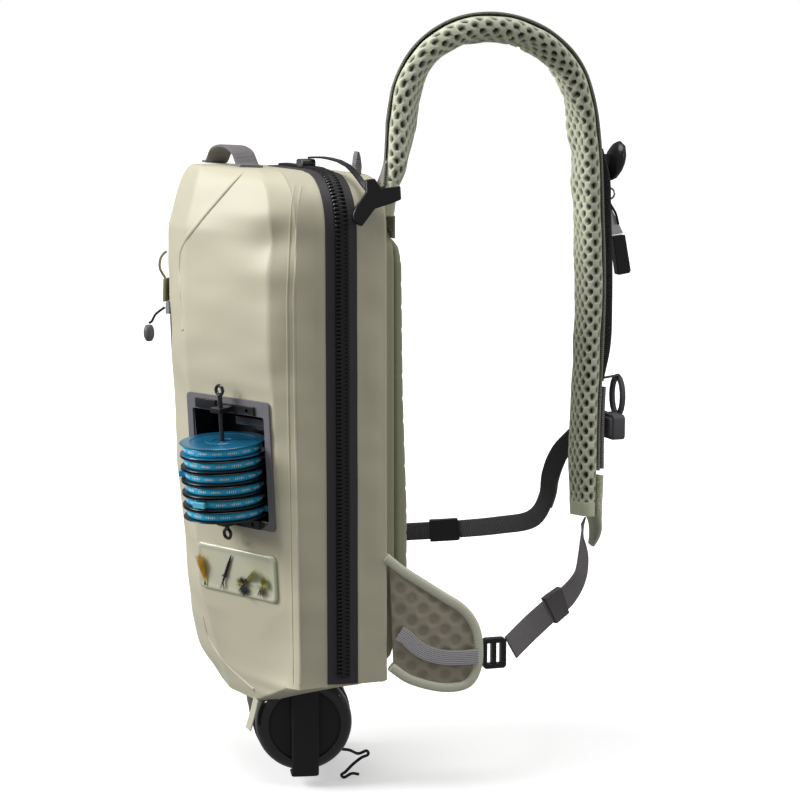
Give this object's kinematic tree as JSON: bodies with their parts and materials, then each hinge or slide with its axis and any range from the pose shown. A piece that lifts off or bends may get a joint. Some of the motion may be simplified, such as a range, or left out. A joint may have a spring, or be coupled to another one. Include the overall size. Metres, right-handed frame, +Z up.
{
  "type": "fishing tackle sling bag",
  "caption": "Sling bag for fishing tackle with a padded arched shoulder strap, hip wing, front line spools, fly patch and a bottle carried under it",
  "frame": {"origin": "where the underside of the arched shoulder strap rests on the shoulder", "axes": "+X to the side with the main zip, +Y from the bag to the wearer and on to the chest, +Z up; the bag is shown as it is worn"},
  "size_m": [0.2846, 0.4118, 0.6493],
  "materials": {
    "fabric": "coated woven fabric, matt",
    "back_fabric": "coarse knitted fabric",
    "tape": "fine woven tape",
    "chain": "moulded teeth",
    "metal": "brushed",
    "black_plastic": "moulded, half gloss",
    "grey_plastic": "moulded, fine grain",
    "strap_mesh": "spacer mesh",
    "grey_webbing": "woven webbing",
    "dark_webbing": "woven webbing",
    "wing_mesh": "open mesh over foam",
    "binding": "folded binding tape",
    "frame_grey": "ribbed",
    "band_blue": "soft, matt",
    "clear_film": "half-clear film",
    "black_cord": "braided cord",
    "bottle_black": "smooth"
  },
  "bodies": {
    "bag": {"spool_frame": "frame_grey", "spool_tray": "black_plastic", "spool_rod": "black_plastic", "fly_patch": "clear_film", "bottle": "bottle_black", "bottle_cap": "black_plastic", "bottle_sleeve": "bottle_black", "bag_shell": "fabric", "zip_tape": "tape", "zip_chain": "chain", "zip_slider": "metal", "zip_pull": "grey_plastic", "zip_pull_strap": "black_plastic", "back_board": "back_fabric", "back_pad_zip_side": "back_fabric", "back_pad_pocket_side": "back_fabric", "grab_handle": "grey_webbing", "top_loop": "grey_webbing", "strap_pad": "strap_mesh", "strap_outer_ply": "grey_webbing", "tool_webbing": "dark_webbing", "strap_base_webbing": "grey_webbing", "strap_end_tab": "binding", "side_plate": "grey_webbing", "oval_loop": "grey_plastic", "buckle_socket": "grey_plastic", "buckle_plug": "grey_plastic", "retractor_case": "black_plastic", "retractor_ring": "metal", "nipper_blades": "metal", "nipper_grip": "grey_plastic", "nipper_cord": "black_cord", "waist_webbing": "dark_webbing", "waist_webbing_end": "grey_webbing", "waist_slider": "black_plastic", "lower_webbing": "grey_webbing", "webbing_keeper": "frame_grey", "ladder_lock": "black_plastic", "wing_binding": "binding", "wing_pad": "wing_mesh", "wing_elastic": "frame_grey", "pocket_zip": "tape", "pocket_flap": "fabric", "pocket_slider": "metal", "pocket_cord": "black_cord", "pocket_toggle": "grey_plastic", "draw_cord": "black_cord", "side_tape": "fabric"},
    "line_spool_1": {"spool_1": "black_plastic", "band_1": "band_blue"},
    "line_spool_2": {"spool_2": "black_plastic", "band_2": "band_blue"},
    "line_spool_3": {"spool_3": "black_plastic", "band_3": "band_blue"},
    "line_spool_4": {"spool_4": "black_plastic", "band_4": "band_blue"},
    "line_spool_5": {"spool_5": "black_plastic", "band_5": "band_blue"},
    "line_spool_6": {"spool_6": "black_plastic", "band_6": "band_blue"}
  },
  "joints": [
    {"name": "spool_1_spin", "type": "hinge", "parent": "bag", "child": "line_spool_1", "pos_m": [-0.01531, -0.22467, -0.32869], "axis": [0.0258, -0.0538, 0.9982], "continuous": true},
    {"name": "spool_2_spin", "type": "hinge", "parent": "bag", "child": "line_spool_2", "pos_m": [-0.01558, -0.2241, -0.33927], "axis": [0.0258, -0.0538, 0.9982], "continuous": true},
    {"name": "spool_3_spin", "type": "hinge", "parent": "bag", "child": "line_spool_3", "pos_m": [-0.01586, -0.22353, -0.34985], "axis": [0.0258, -0.0538, 0.9982], "continuous": true},
    {"name": "spool_4_spin", "type": "hinge", "parent": "bag", "child": "line_spool_4", "pos_m": [-0.01613, -0.22296, -0.36043], "axis": [0.0258, -0.0538, 0.9982], "continuous": true},
    {"name": "spool_5_spin", "type": "hinge", "parent": "bag", "child": "line_spool_5", "pos_m": [-0.0164, -0.22239, -0.37102], "axis": [0.0258, -0.0538, 0.9982], "continuous": true},
    {"name": "spool_6_spin", "type": "hinge", "parent": "bag", "child": "line_spool_6", "pos_m": [-0.01668, -0.22182, -0.3816], "axis": [0.0258, -0.0538, 0.9982], "continuous": true}
  ]
}
